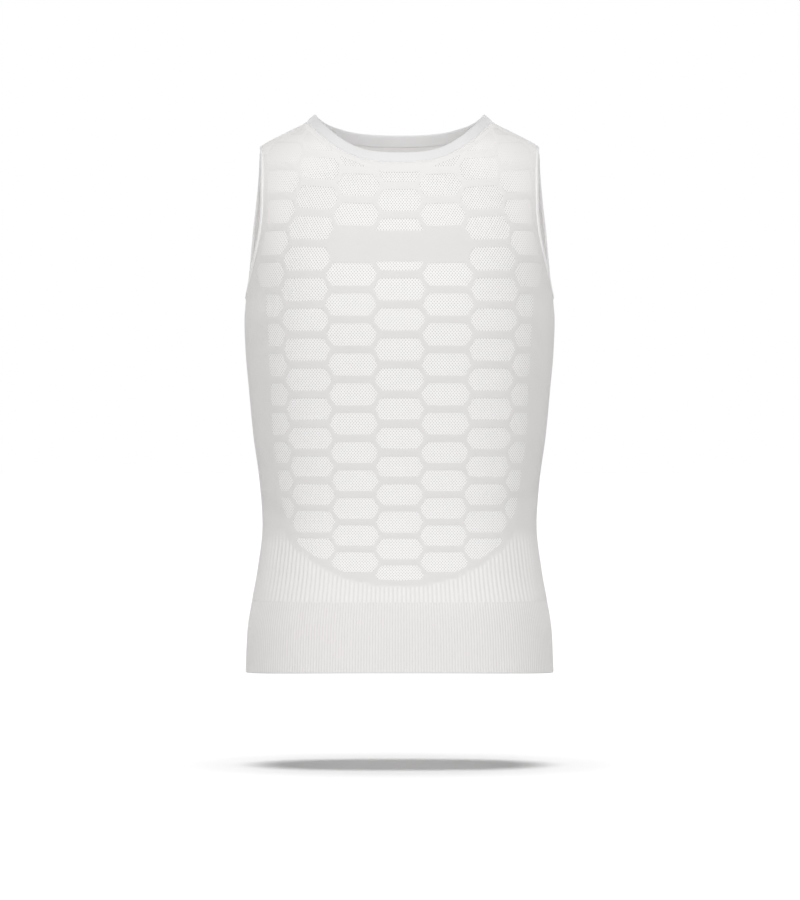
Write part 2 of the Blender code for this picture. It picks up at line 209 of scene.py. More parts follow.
def neck_curve(face, steps):
    """Neckline seam of one face, from -X to +X, as arc lengths and heights."""
    drop, power = NECK_SHAPE[face]
    curve = []
    for k in range(-steps, steps + 1):
        t = sin(k / steps * pi / 2)
        z = SHOULDER_NECK - drop * (1 - abs(t) ** power)
        s = side(face, z) if abs(k) == steps else arc_at(face, NECK_HALF * abs(t), z)
        curve.append((np.copysign(s, t), z))
    return np.array(curve)


def armhole_curve(face, steps):
    """Armhole edge of one face at +X, from the shoulder down to the underarm."""
    across = smooth(ARMHOLE[:, 0], ARMHOLE[:, 1 if face == FRONT else 2])
    middle, reach = (SHOULDER_TIP + UNDERARM) / 2, (SHOULDER_TIP - UNDERARM) / 2
    heights = [middle + reach * cos(pi * k / steps) for k in range(steps + 1)]
    arcs = [arc_at(face, float(across(z)), z) for z in heights[1:-1]]
    return np.array([side(face, heights[0]), *arcs, side(face, heights[-1]), *heights]).reshape(2, -1).T


def round_loop(front, back):
    """One closed line of (face, s, z) from a front and a back curve that meet."""
    return [(FRONT, s, z) for s, z in front[:-1]] + [(BACK, s, z) for s, z in back[:0:-1]]


def frames(loop):
    """Place, outward and sideways direction at each (face, s, z) of a closed line."""
    places = np.array([lifted(*station) for station in loop])
    out = np.array([slopes(*station)[2] for station in loop])
    run = np.roll(places, -1, axis=0) - np.roll(places, 1, axis=0)
    sideways = np.cross(out, run)
    return places, out, sideways / np.linalg.norm(sideways, axis=1, keepdims=True)


NECK_LOOP = round_loop(neck_curve(FRONT, NECK_STEPS), neck_curve(BACK, NECK_STEPS))
ARMHOLE_LOOP = round_loop(armhole_curve(FRONT, ARMHOLE_STEPS), armhole_curve(BACK, ARMHOLE_STEPS))


def beside(loop, step, face):
    """The part of a loop on one face, moved along the cloth away from the opening."""
    _, _, sideways = frames(loop)
    half = len(loop) // 2
    line = []
    for k in range(half + 1):
        at = k if face == FRONT else -k % len(loop)
        _, s, z = loop[at]
        ends = k in (0, half)
        s = np.copysign(side(face, z), s) if ends else s
        along, up, _ = slopes(face, s, z)
        shift = np.linalg.lstsq(np.stack([along, up], axis=1), -sideways[at] * step, rcond=None)[0]
        z = z + shift[1]
        line.append((np.copysign(side(face, z) if ends else min(abs(s + shift[0]), side(face, z)), s), z))
    return np.array(line)


HONEYCOMB = np.array([
    # height, column pitch, reach from the centre line
    (0.0, 43.5, 240.0),
    (-100.0, 47.0, 240.0),
    (-150.0, 52.0, 220.0),
    (-209.0, 55.2, 165.0),
    (-300.0, 52.6, 157.0),
    (-374.0, 51.5, 155.0),
    (-450.0, 49.8, 142.0),
    (-481.0, 49.8, 130.0),
    (-493.0, 50.0, 119.0),
    (-510.0, 50.4, 93.0),
    (-525.0, 50.8, 63.0),
    (-532.5, 51.0, 30.0),
    (-534.0, 51.0, 0.0),
])
PITCH = smooth(HONEYCOMB[:, 0], HONEYCOMB[:, 1])
ROW_PITCH, ROW_TIGHTENS, ROW_ZERO = 33.7, 0.31, -305.5
ROW_CLIMB = 7.5
CLIMB_ALONG, CLIMB_UP = (45.0, 90.0), (-205.0, 110.0)  # where each starts, and its length
CELL_COLUMNS, CELL_ROWS = range(-4, 5), np.arange(-9, 8)
CELL_CORNERS = np.array([
    # across, in column pitches, and down, in row pitches, anticlockwise
    (-0.408, 0.5), (0.408, 0.5), (0.592, 0.0), (0.408, -0.5), (-0.408, -0.5), (-0.592, 0.0),
])
BORDER_STEPS = np.array([4.2, 2.4, 2.4, 4.2, 2.4, 2.4])
LOW_ROWS, LOW_BORDERS = (3, 5), (1.0, 0.8)  # borders narrow between these rows
CORNER_RADIUS = 1.8
RIM_SPACING = 3.4
CUT_SPACING = 4.0
SMALLEST_CELL = 110.0
PLAIN_PATCH = (-138.0, -173.0)  # no cells between these heights, in the middle of the chest
ZONE_MARGIN, ARMHOLE_MARGIN, SHOULDER_MARGIN = 1.8, 8.0, 13.0
NECK_MARGINS = (
    # arc lengths from the centre line, and the cells' distances from the neck seam there
    (20.0, 50.0), (12.0, 6.0),
)


def row_height(row):
    """Height of a honeycomb row; rows are counted downwards."""
    return ROW_ZERO - ROW_PITCH * row + ROW_TIGHTENS * np.maximum(row, 0) ** 2


def lattice(column, row):
    """A spot of the honeycomb, as arc length and height; its rows climb towards the shoulders."""
    z = row_height(row)
    s = column * PITCH(z)
    climb = ROW_CLIMB * ramp(np.abs(s), *CLIMB_ALONG) * ramp(z, *CLIMB_UP)
    return np.stack([s, z + climb], axis=-1)


def distance(line, spots):
    """Shortest distances from spots to an open line of points."""
    spots = np.atleast_2d(spots)[:, None]
    start, run = line[:-1], np.diff(line, axis=0)
    along = ((spots - start) * run).sum(axis=2) / (run ** 2).sum(axis=1)
    nearest = start + run * np.clip(along, 0, 1)[..., None]
    return np.hypot(*np.moveaxis(nearest - spots, 2, 0)).min(axis=1)


def inside(loop, spots):
    """Which of the spots are inside a closed loop."""
    spots, ahead = np.atleast_2d(spots)[:, None], np.roll(loop, -1, axis=0)
    crosses = (loop[:, 1] > spots[..., 1]) != (ahead[:, 1] > spots[..., 1])
    rise = ahead[:, 1] - loop[:, 1]
    rise = np.where(rise == 0, 1, rise)
    at = loop[:, 0] + (spots[..., 1] - loop[:, 1]) * (ahead[:, 0] - loop[:, 0]) / rise
    return (crosses & (at > spots[..., 0])).sum(axis=1) % 2 == 1


def inset(loop, steps):
    """An anticlockwise loop with each edge moved inwards by its own step."""
    steps = np.broadcast_to(steps, len(loop))
    run = np.roll(loop, -1, axis=0) - loop
    normal = np.stack([-run[:, 1], run[:, 0]], axis=1) / np.hypot(*run.T)[:, None]
    pairs = np.stack([np.roll(normal, 1, axis=0), normal], axis=1)
    moves = np.stack([np.roll(steps, 1), steps], axis=1)
    return loop + (np.linalg.pinv(pairs, rcond=0.05) @ moves[..., None])[..., 0]


def armhole_line(face):
    """Every third point beside the left armhole's edge, from the shoulder down."""
    return beside(ARMHOLE_LOOP, EDGE_WIDTH, face)[::3]


def shoulder_line(face):
    """The left shoulder's seam, from the armhole to the neck."""
    return np.array([armhole_line(face)[0], neck_curve(face, COARSE_STEPS)[-1]])


def zone_depth(spots):
    """How far inside the honeycomb's own outline spots lie; outside it they count below 0."""
    right = HONEYCOMB[:, [2, 0]]
    zone = np.concatenate([right, (right * (-1, 1))[-2::-1]])
    return distance(zone, spots) * np.where(inside(zone, spots), 1, -1)


def zone_margin(face):
    """A function that says how far spots lie inside the part of a face that takes cells."""
    neck, armhole = neck_curve(face, COARSE_STEPS), armhole_line(face)
    levels = np.linspace(armhole[-1, 1] - 4, -560, 30)
    trunk = np.concatenate([armhole, np.stack([side(face, levels), levels], axis=1)])
    outline = np.concatenate([neck, trunk, (trunk * (-1, 1))[::-1]])
    edges = ((armhole, ARMHOLE_MARGIN), (shoulder_line(face), SHOULDER_MARGIN))
    lines = [(line * (turn, 1), keep) for turn in (-1, 1) for line, keep in edges]

    def margin(spots):
        within = np.where(inside(outline, spots), 1, -1)
        neck_margin = np.interp(np.abs(np.atleast_2d(spots)[:, 0]), *NECK_MARGINS)
        depths = [within * distance(line, spots) - keep for line, keep in [(neck, neck_margin), *lines]]
        return np.min([*depths, zone_depth(spots) - ZONE_MARGIN], axis=0)

    return margin


def followed(start, end, margin):
    """Points between two spots, moved onto the line where the margin is 0."""
    count = int(np.hypot(*(end - start)) / CUT_SPACING) + 2
    chord = start + (end - start) * np.linspace(0, 1, count)[1:-1, None]
    for _ in range(2 if len(chord) else 0):
        value = margin(chord)
        slope = np.stack([margin(chord + step) - value for step in ((0.5, 0), (0, 0.5))], axis=1) * 2
        chord = chord - slope * (value / np.maximum((slope ** 2).sum(axis=1), 0.5))[:, None]
    return list(chord)


def clipped(loop, margin):
    """The part of a loop where the margin is positive, cut along its zero line."""
    values = margin(loop)
    result, cut = [], None
    for spot, ahead, value, next_value in zip(loop, np.roll(loop, -1, axis=0), values, np.roll(values, -1)):
        if value > 0:
            result.append(spot)
        if (value > 0) != (next_value > 0):
            low, high = (spot, ahead) if value > 0 else (ahead, spot)
            for _ in range(12):
                half = (low + high) / 2
                low, high = (half, high) if margin(half)[0] > 0 else (low, half)
            cut = len(result) if value > 0 else cut
            result.append(low)
    if cut is not None:
        result[cut + 1:cut + 1] = followed(result[cut], result[(cut + 1) % len(result)], margin)
    return np.array(result)


def rounded(loop, radius, spacing):
    """A loop with round corners and evenly spaced points."""
    points = []
    for k, corner in enumerate(loop):
        before, after = loop[k - 1] - corner, loop[(k + 1) % len(loop)] - corner
        start = corner + before * min(radius / np.hypot(*before), 0.5)
        end = corner + after * min(radius / np.hypot(*after), 0.5)
        for t in (0, 0.25, 0.5, 0.75, 1):
            points.append(start * (1 - t) ** 2 + corner * 2 * t * (1 - t) + end * t ** 2)
    points = np.array(points + points[:1])
    along = np.concatenate([[0], np.cumsum(np.hypot(*np.diff(points, axis=0).T))])
    even = np.linspace(0, along[-1], max(8, round(along[-1] / spacing)) + 1)[:-1]
    return np.stack([np.interp(even, along, points[:, k]) for k in (0, 1)], axis=1)


def area(loop):
    """Area of a closed loop, positive where it runs anticlockwise."""
    ahead = np.roll(loop, -1, axis=0)
    return float((loop[:, 0] * ahead[:, 1] - ahead[:, 0] * loop[:, 1]).sum() / 2)


def cell_loops(face):
    """The rim of each openwork cell of a face, as loops of arc length and height."""
    margin = zone_margin(face)
    found = []

    def off_patch(spots):
        high, low = PLAIN_PATCH
        return np.maximum(spots[..., 1] - high, low - spots[..., 1]).reshape(-1)

    for column in CELL_COLUMNS:
        for row in CELL_ROWS + 0.5 * (column % 2):
            loop = lattice(*(CELL_CORNERS + (column, row)).T)
            loop = clipped(inset(loop, BORDER_STEPS * np.interp(row, LOW_ROWS, LOW_BORDERS)), margin)
            if face == FRONT and abs(column) < 2 and len(loop):
                loop = clipped(loop, off_patch)
            if len(loop) > 2 and area(loop) > SMALLEST_CELL:
                found.append(rounded(loop, CORNER_RADIUS, RIM_SPACING))
    return found


CELLS = {face: cell_loops(face) for face in (FRONT, BACK)}
WIDE_RIBS = 79
LINES_IN_RIB = 6
RIB_WIDENS = 0.12
RIB_TOP, RIB_RISE = -475.0, 16.0  # full depth is reached over this height
RIB_MARGIN, RIB_RUN = 3.6, 3.0  # and over this run, beyond the openwork's border
RIB_FLAT, RIB_LEAST = (180.0, -30.0), 0.2  # towards the sides the ribs flatten to the least depth
RIB_ROW = 4.1
RIB_DEPTH = 0.45
RIM_DEPTH = 0.1
RIM_RINGS = (0.9, -0.02), (2.1, 0.0)  # distance from a cell's rim, height
SEAM_RIDGE = (
    # distance from the neck seam, height
    (0.0, -0.45), (0.9, 0.2), (1.9, 0.8), (3.0, 0.75), (4.2, 0.1), (5.6, 0.0),
)
PLAIN_SPACING = 4.6
PLAIN_REACH = 300.0
RING_CLEAR, RIDGE_CLEAR, RIB_CLEAR = 0.8, 0.55, 0.6  # from the rims; a ring's is a share of its step
PLAIN_CLEAR, ROW_CLEAR = 1.8, 2.6  # plain knit's, from the rims and from all the rows
WALE, COURSE = 0.82, 0.66


def rib_share(share):
    """Share of the wide ribs passed at a share of the side's arc length: they widen outwards."""
    return (share - RIB_WIDENS * share ** 3) / (1 - RIB_WIDENS)


def rib_lines():
    """Shares of the side's arc length at which the lines of the wide ribs run."""
    count = WIDE_RIBS * LINES_IN_RIB // 2
    even = np.linspace(-1, 1, 1001)
    return np.interp(np.arange(-count, count + 1) / count, rib_share(even), even)


def rib_mask(s, z):
    """How much of the wide ribs' depth is there: none near the openwork and above the waist."""
    clear = -zone_depth(np.stack([s, z], axis=-1))
    flatter = np.maximum(ramp(np.abs(s), *RIB_FLAT), RIB_LEAST)
    return ramp(clear, RIB_MARGIN, RIB_RUN) * ramp(z, RIB_TOP, -RIB_RISE) * flatter


def panel_outline(face):
    """A panel's outline, anticlockwise from the hem's corner at -X."""
    hem = np.array([(part * side(face, HEM_TOP), HEM_TOP) for part in rib_lines()])
    armhole = beside(ARMHOLE_LOOP, EDGE_WIDTH - 1.0, face)
    rise = np.linspace(HEM_TOP, armhole[-1, 1], round((armhole[-1, 1] - HEM_TOP) / RIB_ROW) + 1)[1:-1]
    shoulder = np.linspace(armhole[0, 1], SHOULDER_NECK, 12)[1:-1]
    below, above = ([(side(face, z), z) for z in levels] for levels in (rise, shoulder))
    right, neck = np.array([*below, *armhole[::-1], *above]), neck_curve(face, NECK_STEPS)
    return np.concatenate([hem, right, neck[::-1], right[::-1] * (-1, 1)])


def search_tree(spots):
    """A tree that finds the nearest of many spots."""
    tree = KDTree(len(spots))
    for k, (s, z) in enumerate(spots):
        tree.insert((s, z, 0), k)
    tree.balance()
    return tree


def clear_of(tree, spots, least):
    """The spots that lie farther than a least distance from every spot in a tree."""
    return spots[np.array([tree.find((s, z, 0))[2] > least for s, z in spots], bool)]


def triangles(spots, loops):
    """Triangles between spots, inside the first loop and outside the others."""
    edges = np.concatenate([np.stack([numbers, np.roll(numbers, -1)], axis=1) for numbers in loops])
    made, _, faces, origins, _, _ = delaunay_2d_cdt(spots.tolist(), edges.tolist(), [], 0, 1e-6, True)
    if len(made) != len(spots) or not all(origins):
        raise ValueError("the pattern's lines cross")
    faces = np.array([origin[0] for origin in origins])[np.array(faces)]
    middle = spots[faces].mean(axis=1)
    owner = np.full(len(spots), -1)
    for k, numbers in enumerate(loops):
        owner[numbers] = k
    same = (owner[faces] == owner[faces[:, :1]]).all(axis=1)
    keep = np.ones(len(faces), bool)
    for k, numbers in enumerate(loops):
        own = np.flatnonzero(same & (owner[faces[:, 0]] == k))
        if len(own):
            keep[own] = inside(spots[numbers], middle[own]) == (k == 0)
    return faces[keep]


def panel_pattern(face):
    """A panel's flat pattern: its spots, their heights above the cloth, and its triangles."""
    outline, cells = panel_outline(face), CELLS[face]
    neck = np.abs(outline[:, None] - neck_curve(face, NECK_STEPS)).sum(axis=2).min(axis=1) < 1e-6
    spots = [outline, *cells]
    heights = [np.where(neck, SEAM_RIDGE[0][1], 0.0), *(np.full(len(loop), -RIM_DEPTH) for loop in cells)]
    ends = np.cumsum([0, *map(len, spots)])
    loops = [np.arange(first, end) for first, end in zip(ends, ends[1:])]
    rims = search_tree(np.concatenate(spots))

    def add(candidates, height, least):
        """Adds the candidates that lie on plain knit, clear of its rims."""
        candidates = candidates[inside(outline, candidates)]
        for loop in cells:
            low, high = loop.min(axis=0), loop.max(axis=0)
            close = np.flatnonzero(((candidates > low) & (candidates < high)).all(axis=1))
            if len(close):
                candidates = np.delete(candidates, close[inside(loop, candidates[close])], axis=0)
        spots.append(clear_of(rims, candidates, least))
        heights.append(np.full(len(spots[-1]), height))

    for step, height in RIM_RINGS:
        for loop in cells:
            add(inset(loop, -step), height, step * RING_CLEAR)
    for step, height in SEAM_RIDGE[1:]:
        add(beside(NECK_LOOP, step, face)[1:-1], height, RIDGE_CLEAR)
    levels = np.linspace(RIB_TOP, HEM_TOP, round((RIB_TOP - HEM_TOP) / RIB_ROW) + 1)[:-1]
    ribs = np.array([(part * side(face, z), z) for z in levels for part in rib_lines()])
    add(ribs[rib_mask(*ribs.T) > 0], 0.0, RIB_CLEAR)
    columns = np.arange(-PLAIN_REACH, PLAIN_REACH, PLAIN_SPACING)
    rows = np.arange(HEM_TOP, 0.0, PLAIN_SPACING * 0.866)
    grid = np.array([(s + k % 2 * PLAIN_SPACING / 2, z) for k, z in enumerate(rows) for s in columns])
    add(clear_of(search_tree(np.concatenate(spots)), grid, ROW_CLEAR), 0.0, PLAIN_CLEAR)
    spots = np.concatenate(spots)
    return spots, np.concatenate(heights), triangles(spots, loops)


def surface_mesh(name, points, faces, stitches=None, **marks):
    """A mesh from points in millimetres, with a stitch map and named marks on its points."""
    mesh = bpy.data.meshes.new(name)
    mesh.from_pydata((points * MM).tolist(), [], faces.tolist())
    if stitches is not None:
        corners = np.empty(len(mesh.loops), int)
        mesh.loops.foreach_get("vertex_index", corners)
        layer = mesh.uv_layers.new(name="stitches")
        layer.data.foreach_set("uv", stitches[corners].astype(np.float32).ravel())
    for mark, values in marks.items():
        mesh.attributes.new(mark, "FLOAT", "POINT").data.foreach_set("value", values.astype(np.float32))
    mesh.shade_smooth()
    return mesh


def piece(name, data):
    """An object at the origin, made from a mesh, a lamp's data or a camera's."""
    obj = bpy.data.objects.new(name, data)
    bpy.context.scene.collection.objects.link(obj)
    return obj


class Value:
    """A socket of a node tree; arithmetic on it adds Math nodes."""

    def __init__(self, nodes, socket):
        self.nodes, self.socket = nodes, socket

    def output(self, name):
        """Another output of the same node."""
        return Value(self.nodes, self.socket.node.outputs[name])

    def math(self, operation, *values):
        return self.nodes.node("ShaderNodeMath", {"operation": operation}, dict(enumerate(values)))

    def __add__(self, other):
        return self.math("ADD", self, other)

    def __sub__(self, other):
        return self.math("SUBTRACT", self, other)

    def __rsub__(self, other):
        return self.math("SUBTRACT", other, self)

    def __mul__(self, other):
        return self.math("MULTIPLY", self, other)

    __radd__, __rmul__ = __add__, __mul__

    def cosine(self, turns):
        """Cosine of this value, counted in whole turns."""
        return self.math("COSINE", self * (2 * pi * turns))


class Nodes:
    """A node tree that is filled one node at a time."""

    def __init__(self, tree):
        self.tree = tree

    def node(self, kind, settings, sockets, output=0):
        made = self.tree.nodes.new(kind)
        for setting, value in settings.items():
            setattr(made, setting, value)
        for socket, value in sockets.items():
            if isinstance(value, Value):
                self.tree.links.new(value.socket, made.inputs[socket])
            else:
                made.inputs[socket].default_value = value
        return Value(self, made.outputs[output])


class Finish(Nodes):
    """A yarn's material, built on its Principled shader; other sockets are set once."""

    def __init__(self, name, **constants):
        self.material = bpy.data.materials.new(name)
        self.material.use_nodes = True
        super().__init__(self.material.node_tree)
        self.shader = self.tree.nodes["Principled BSDF"]
        for socket, value in constants.items():
            self.shader.inputs[socket.replace("_", " ")].default_value = value

    def feed(self, socket, value):
        self.tree.links.new(value.socket, self.shader.inputs[socket])

    def noise(self, scale, detail=2.0):
        where = self.node("ShaderNodeTexCoord", {}, {}, "Object")
        return self.node("ShaderNodeTexNoise", {}, {"Vector": where, "Scale": scale, "Detail": detail})

    def level(self, low, high):
        """How far up a spot lies between two heights, from 0 to 1."""
        where = self.node("ShaderNodeTexCoord", {}, {}, "Object")
        height = self.node("ShaderNodeSeparateXYZ", {}, {0: where}, "Z")
        ends = {"From Min": low * MM, "From Max": high * MM}
        return self.node("ShaderNodeMapRange", {}, {"Value": height, **ends})

    def mark(self, name):
        return self.node("ShaderNodeAttribute", {"attribute_name": name}, {}, "Fac")

    def mix(self, share, low, high):
        return self.node("ShaderNodeMix", {"data_type": "RGBA"}, {0: share, 6: low, 7: high}, 2)

    def bump(self, height, distance):
        self.feed("Normal", self.node("ShaderNodeBump", {}, {"Height": height, "Distance": distance * MM}))

    def jersey(self):
        """Height of plain knit: columns of V-shaped stitches, counted by the stitch map."""
        where = self.node("ShaderNodeUVMap", {"uv_map": "stitches"}, {})
        wale = self.node("ShaderNodeSeparateXYZ", {}, {0: where})
        column = wale.cosine(1)
        legs = (wale.output("Y") + wale.math("PINGPONG", wale * 2, 1) * 0.5).cosine(1)
        return column * 0.5 + legs * 0.3 + self.noise(1200.0) * 0.4


def knit_finish():
    """Matt white jersey, with painted highlight that makes it paler at the shoulders and on the ribs, and
    painted shade that greys it where the ribs sink.
    """
    finish = Finish("plain_knit", Roughness=0.88, Sheen_Weight=0.2, Sheen_Roughness=0.5)
    finish.bump(finish.jersey(), 0.12)
    cloudy = finish.noise(14.0, 4.0) * 0.7 + finish.noise(260.0, 3.0) * 0.3
    yarn = finish.mix(cloudy, (0.785, 0.770, 0.761, 1), (0.825, 0.810, 0.801, 1))
    # Painted highlight: paler towards the shoulders.
    yarn = finish.mix(finish.level(-130.0, -20.0), yarn, (0.90, 0.884, 0.875, 1))
    # Painted highlight: paler where the wide ribs are deep, to offset the shade between them.
    yarn = finish.mix(finish.mark("ribbed"), yarn, (0.93, 0.913, 0.903, 1))
    # Painted shade: greyer where the ribs sink.
    finish.feed("Base Color", finish.mix(finish.mark("sunk"), yarn, (0.80, 0.785, 0.776, 1)))
    return finish.material


KNIT = knit_finish()


def geometry_tree(name, *sizes):
    """A geometry tree with a mesh or line to work on, a finish, and named sizes."""
    tree = bpy.data.node_groups.new(name, "GeometryNodeTree")
    numbers = dict.fromkeys(sizes, "NodeSocketFloat")
    kinds = {"Geometry": "NodeSocketGeometry", **numbers, "Finish": "NodeSocketMaterial"}
    for socket, kind in kinds.items():
        tree.interface.new_socket(socket, in_out="INPUT", socket_type=kind)
    tree.interface.new_socket("Geometry", in_out="OUTPUT", socket_type="NodeSocketGeometry")
    nodes = Nodes(tree)
    entry = nodes.node("NodeGroupInput", {}, {})
    return nodes, {socket: entry.output(socket) for socket in kinds}


def finished(nodes, made, finish):
    """Ends a tree: its instances are made real and take the finish."""
    made = nodes.node("GeometryNodeRealizeInstances", {}, {0: made})
    made = nodes.node("GeometryNodeSetMaterial", {}, {"Geometry": made, "Material": finish})
    nodes.tree.links.new(made.socket, nodes.tree.nodes.new("NodeGroupOutput").inputs[0])
    return nodes.tree


def worked(obj, tree, **sizes):
    """Runs a tree on a piece and keeps what it makes as the piece's mesh."""
    modifier = obj.modifiers.new(tree.name, "NODES")
    modifier.node_group = tree
    for item in tree.interface.items_tree:
        if item.in_out == "INPUT" and item.name in sizes:
            modifier[item.identifier] = sizes[item.name]
    graph = bpy.context.evaluated_depsgraph_get()
    result = obj.evaluated_get(graph)
    mesh = bpy.data.meshes.new_from_object(result, preserve_all_data_layers=True, depsgraph=graph)
    obj.modifiers.clear()
    obj.data = mesh
    mesh.name = obj.name
    return obj


def named(nodes, name):
    """A number that the mesh keeps under a name."""
    return nodes.node("GeometryNodeInputNamedAttribute", {"data_type": "FLOAT"}, {"Name": name})


def stored(nodes, made, domain, name, value, selection=True):
    """The mesh with a number kept under a name."""
    return nodes.node(
        "GeometryNodeStoreNamedAttribute",
        {"data_type": "FLOAT", "domain": domain},
        {"Geometry": made, "Selection": selection, "Name": name, "Value": value},
    )


def ribbing():
    """Presses ribs into cloth: its points sink between ribs, and a mark keeps how far, which the finishes
    use for painted shade.
    """
    nodes, given = geometry_tree("ribbing", "Depth")
    dip = 0.5 - named(nodes, "rib").cosine(1) * 0.5
    sunk = named(nodes, "ribbed") * dip * dip
    inwards = {0: nodes.node("GeometryNodeInputNormal", {}, {}), "Scale": sunk * given["Depth"] * -1}
    step = nodes.node("ShaderNodeVectorMath", {"operation": "SCALE"}, inwards)
    marked = stored(nodes, given["Geometry"], "POINT", "sunk", sunk)
    pressed = nodes.node("GeometryNodeSetPosition", {}, {0: marked, "Offset": step})
    return finished(nodes, pressed, given["Finish"])


RIBBING = ribbing()


def true_area(points, faces):
    """Area of a mesh given in millimetres, in square metres."""
    a, b, c = (points[faces[:, k]] for k in range(3))
    return float(np.linalg.norm(np.cross(b - a, c - a), axis=1).sum() / 2) * MM * MM


def panel(name, face, node):
    """The plain knit of the front or back, with its openwork cells left out."""
    spots, heights, faces = panel_pattern(face)
    faces = faces[:, ::-face]  # outwards on the front and the back
    s, z = spots.T
    points = lifted(face, s, z, heights)
    phase = rib_share(s / side(face, z)) * WIDE_RIBS / 2
    stitches = np.stack([s / WALE, z / COURSE], axis=1)
    obj = piece(name, surface_mesh(name, points, faces, stitches, rib=phase, ribbed=rib_mask(s, z)))
    worked(obj, RIBBING, Depth=RIB_DEPTH * MM, Finish=KNIT)
    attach(obj, "root")
    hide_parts(node)
    return obj, true_area(points, faces)


front_knit, front_area = panel("front_knit", FRONT, "front_body")
back_knit, back_area = panel("back_knit", BACK, "back_body")

# ----------------------
# The openwork in the cells, knitted in one with the jersey but thinner and
# whiter, the white partly a painted highlight on its threads. Dropped loops
# leave small holes in offset rows, behind which a fine elastane yarn runs,
# greyed with painted shade; the holes close towards the shoulders and the
# armholes.
# ----------------------
HOLES_ACROSS, HOLES_DOWN = 31, 17
NET_DEPTH = 0.12
NET_TUCK = 1.3
NET_THREAD = 0.34
HOLE_SHARE = 0.6
NET_COUNT = 200
SHOULDER_FADE, ARMHOLE_FADE = (20.0, 62.0), (2.0, 42.0)  # holes open from here, over this length
LEAST_OPEN = 0.2


def net_finish():
    """Whiter, glossier yarn than the jersey's, partly by painted highlight, with the elastic ground yarn at
    the holes' bottoms greyed by painted shade.
    """
    finish = Finish("openwork_knit", Roughness=0.72, Sheen_Weight=0.2, Sheen_Roughness=0.4)
    finish.bump(finish.noise(1500.0), 0.08)
    # Whiter than the jersey: partly the yarn's own colour, partly a painted highlight on its threads.
    yarn = finish.mix(finish.noise(40.0, 3.0), (0.90, 0.893, 0.888, 1), (0.93, 0.924, 0.920, 1))
    # Painted shade darkens the yarn and the elastane towards the top, against the top light; where the holes
    # close, the net is paler towards the top.
    high = finish.level(-230.0, -70.0)
    yarn = finish.mix(high, yarn, (0.895, 0.887, 0.882, 1))
    dense = finish.mix(high, (0.75, 0.735, 0.727, 1), (0.82, 0.805, 0.797, 1))
    yarn = finish.mix(finish.mark("opening"), dense, yarn)
    # The holes' bottoms: elastane, greyed with painted shade.
    shaded_elastane = finish.mix(high, (0.68, 0.667, 0.66, 1), (0.59, 0.577, 0.57, 1))
    finish.feed("Base Color", finish.mix(finish.mark("sunk"), yarn, shaded_elastane))
    return finish.material


def netting():
    """Sinks every face between rims of thread and marks the sunk middle, which the finish greys with painted
    shade.
    """
    nodes, given = geometry_tree("netting", "Thread", "Hole")
    extruded = nodes.node(
        "GeometryNodeExtrudeMesh",
        {"mode": "FACES"},
        {"Mesh": given["Geometry"], "Offset Scale": given["Thread"] * -1, "Individual": True},
    )
    top = extruded.output("Top")
    narrowed = nodes.node(
        "GeometryNodeScaleElements",
        {"domain": "FACE", "scale_mode": "UNIFORM"},
        {"Geometry": extruded, "Selection": top, "Scale": named(nodes, "opening") * given["Hole"]},
    )
    return finished(nodes, stored(nodes, narrowed, "FACE", "sunk", 1.0, top), given["Finish"])


def net_pattern(face):
    """Diamonds round the holes of every cell of a face: their corners and their four-sided faces."""
    counts = np.arange(-NET_COUNT, NET_COUNT + 1)
    across, down = np.meshgrid(counts, counts, indexing="ij")
    even = (across + down) % 2 == 0
    i, j = across[even], down[even]
    centres = lattice(i / HOLES_ACROSS, j / HOLES_DOWN)
    chosen = np.zeros(len(centres), bool)
    for loop in CELLS[face]:
        grown = inset(loop, -NET_TUCK)
        low, high = grown.min(axis=0), grown.max(axis=0)
        near = np.flatnonzero(((centres > low) & (centres < high)).all(axis=1))
        chosen[near] |= inside(grown, centres[near])
    i, j = i[chosen], j[chosen]
    rings = np.array([(i - 1, j), (i, j + 1), (i + 1, j), (i, j - 1)]).transpose(2, 0, 1)
    corners, faces = np.unique(rings.reshape(-1, 2), axis=0, return_inverse=True)
    return *corners.T, faces.reshape(-1, 4)


NET = net_finish()
NETTING = netting()


def net(name, face):
    """The openwork of the front or back, laid into its cells."""
    i, j, faces = net_pattern(face)
    s, z = lattice(i / HOLES_ACROSS, j / HOLES_DOWN).T
    spots = np.stack([np.abs(s), z], axis=1)
    from_shoulder = ramp(distance(shoulder_line(face), spots), *SHOULDER_FADE)
    from_armhole = ramp(distance(armhole_line(face), spots), *ARMHOLE_FADE)
    opening = np.maximum(np.minimum(from_shoulder, from_armhole), LEAST_OPEN)
    obj = piece(name, surface_mesh(name, lifted(face, s, z, -NET_DEPTH), faces[:, ::-face], opening=opening))
    worked(obj, NETTING, Thread=NET_THREAD * MM, Hole=HOLE_SHARE, Finish=NET)
    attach(obj, "root")
    return obj


front_net = net("front_net", FRONT)
back_net = net("back_net", BACK)

